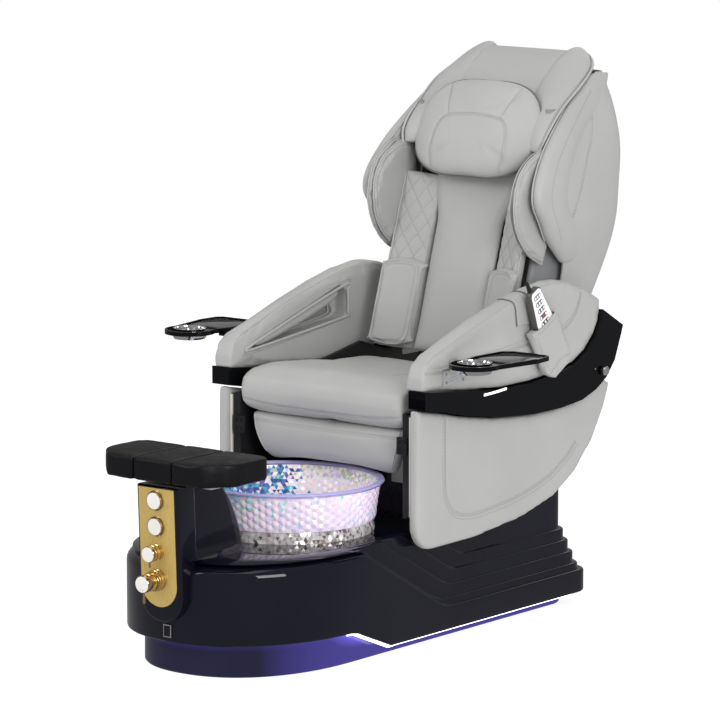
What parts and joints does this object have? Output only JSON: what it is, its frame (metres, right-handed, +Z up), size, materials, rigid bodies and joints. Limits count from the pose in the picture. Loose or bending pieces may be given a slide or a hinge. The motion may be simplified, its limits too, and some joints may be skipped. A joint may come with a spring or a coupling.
{
  "type": "pedicure spa chair",
  "caption": "Massage armchair with lifting armrests and fold-up trays on a stepped base with a foot basin and a footrest column with taps.",
  "frame": {"origin": "on the floor under the middle of the base, at the centre of the basin column's long axis", "axes": "+Z up, the sitter faces -Y, +X is the sitter's left-hand side"},
  "size_m": [1.132, 1.7764, 1.4903],
  "materials": {
    "black_gloss": "high-gloss black moulded shell with a faint navy tint",
    "black_vinyl": "soft black vinyl upholstery",
    "grey_leather": "light warm-grey synthetic leather with fine grain and matching stitching",
    "black_steel": "black powder-coated steel",
    "brushed_gold": "gold, brushed on the plate and polished on the knobs",
    "chrome": "polished chrome",
    "brushed_steel": "satin steel",
    "crystal": "faceted iridescent resin, pink and lilac outside and blue-green inside",
    "clear_resin": "clear sparkling cast resin",
    "rope_light": "translucent light strip with a blue-violet glow",
    "white_plastic": "white moulded plastic",
    "grey_plastic": "dark grey moulded plastic"
  },
  "bodies": {
    "base": {"base_plinth": "black_gloss", "rope_light": "rope_light", "base_shell": "black_gloss", "badge_plate": "chrome", "power_box": "grey_plastic", "drain_pipe": "chrome", "seat_rail_left": "black_steel", "seat_rail_right": "black_steel", "basin_bowl": "crystal", "basin_foot": "clear_resin", "jet_housing": "chrome", "footrest_column": "black_gloss", "control_plate": "brushed_gold"},
    "jet_impeller": {"jet_impeller": "white_plastic"},
    "drain_stopper": {"drain_stopper": "chrome"},
    "push_button_1": {"push_button_1": "chrome"},
    "push_button_2": {"push_button_2": "chrome"},
    "diverter_knob": {"diverter_knob": "brushed_gold"},
    "mixer_knob": {"mixer_knob": "brushed_gold"},
    "footrest": {"footrest_post": "brushed_steel", "footrest_pad_left": "black_vinyl", "footrest_pad_middle": "black_vinyl", "footrest_pad_right": "black_vinyl"},
    "chair": {"seat_frame": "black_steel", "seat_cushion": "grey_leather", "calf_pad": "grey_leather", "side_frame_left": "black_steel", "side_frame_right": "black_steel", "lower_panel_left": "grey_leather", "lower_panel_right": "grey_leather"},
    "armrest_left": {"armrest_trim_left": "black_gloss", "armrest_pad_left": "grey_leather", "tray_bracket_left": "brushed_steel"},
    "armrest_right": {"armrest_trim_right": "black_gloss", "armrest_pad_right": "grey_leather", "tray_bracket_right": "brushed_steel", "remote_pocket": "grey_leather"},
    "tray_left": {"tray_left": "black_gloss", "cup_holder_left": "chrome"},
    "tray_right": {"tray_right": "black_gloss", "cup_holder_right": "chrome"},
    "backrest": {"back_shell": "grey_leather", "side_bolster_left": "grey_leather", "side_bolster_right": "grey_leather", "back_centre_panel": "grey_leather", "quilted_panel_left": "grey_leather", "quilted_panel_right": "grey_leather", "lumbar_pad_left": "grey_leather", "lumbar_pad_right": "grey_leather", "hood_cushion": "grey_leather", "hood_flap": "grey_leather", "headrest_pillow": "grey_leather", "shoulder_wing_left": "grey_leather", "shoulder_wing_right": "grey_leather", "back_frame": "black_steel"},
    "massage_carriage": {"massage_carriage": "black_steel"},
    "kneading_arm_left": {"kneading_arm_left": "black_steel"},
    "kneading_arm_right": {"kneading_arm_right": "black_steel"},
    "remote": {"remote_body": "grey_plastic", "remote_keypad": "white_plastic"}
  },
  "joints": [
    {"name": "jet_impeller_spin", "type": "hinge", "parent": "base", "child": "jet_impeller", "pos_m": [0, -0.415, 0.395], "axis": [0, 1, 0], "continuous": true},
    {"name": "drain_stopper_lift", "type": "slide", "parent": "base", "child": "drain_stopper", "axis": [0, 0, 1], "range_m": [0, 0.01]},
    {"name": "push_button_1_press", "type": "slide", "parent": "base", "child": "push_button_1", "axis": [0, 0.9992, 0.04], "range_m": [0, 0.003], "stiffness_N_per_m": 900},
    {"name": "push_button_2_press", "type": "slide", "parent": "base", "child": "push_button_2", "axis": [0, 0.9992, 0.04], "range_m": [0, 0.003], "stiffness_N_per_m": 900},
    {"name": "diverter_turn", "type": "hinge", "parent": "base", "child": "diverter_knob", "pos_m": [0, -0.754, 0.33], "axis": [0, -0.9992, -0.04], "range_deg": [-60, 60]},
    {"name": "mixer_turn", "type": "hinge", "parent": "base", "child": "mixer_knob", "pos_m": [0, -0.75112, 0.258], "axis": [0, -0.9992, -0.04], "range_deg": [-45, 45]},
    {"name": "footrest_lift", "type": "slide", "parent": "base", "child": "footrest", "axis": [0, 0, 1], "range_m": [0, 0.08]},
    {"name": "chair_slide", "type": "slide", "parent": "base", "child": "chair", "axis": [0, 1, 0], "range_m": [0, 0.1]},
    {"name": "armrest_left_lift", "type": "hinge", "parent": "chair", "child": "armrest_left", "pos_m": [0, 0.69, 0.644], "axis": [-1, 0, 0], "range_deg": [0, 25]},
    {"name": "armrest_right_lift", "type": "hinge", "parent": "chair", "child": "armrest_right", "pos_m": [0, 0.69, 0.644], "axis": [-1, 0, 0], "range_deg": [0, 25]},
    {"name": "tray_left_fold", "type": "hinge", "parent": "armrest_left", "child": "tray_left", "pos_m": [-0.374, 0, 0.752], "axis": [0, 1, 0], "range_deg": [0, 80]},
    {"name": "tray_right_fold", "type": "hinge", "parent": "armrest_right", "child": "tray_right", "pos_m": [0.374, 0, 0.752], "axis": [0, -1, 0], "range_deg": [0, 80]},
    {"name": "back_recline", "type": "hinge", "parent": "chair", "child": "backrest", "pos_m": [0, 0.5, 0.6], "axis": [-1, 0, 0], "range_deg": [0, 30]},
    {"name": "massage_travel", "type": "slide", "parent": "backrest", "child": "massage_carriage", "axis": [0, 0.3, 0.9539], "range_m": [-0.12, 0.055]},
    {"name": "kneading_left_rock", "type": "hinge", "parent": "massage_carriage", "child": "kneading_arm_left", "pos_m": [-0.048, 0.66826, 1.0547], "axis": [1, 0, 0], "range_deg": [-12, 12]},
    {"name": "kneading_right_rock", "type": "hinge", "parent": "massage_carriage", "child": "kneading_arm_right", "pos_m": [0.048, 0.66826, 1.0547], "axis": [1, 0, 0], "range_deg": [-12, 12]},
    {"name": "remote_lift", "type": "slide", "parent": "armrest_right", "child": "remote", "axis": [0, -0.4695, 0.8829], "range_m": [0, 0.09]}
  ]
}
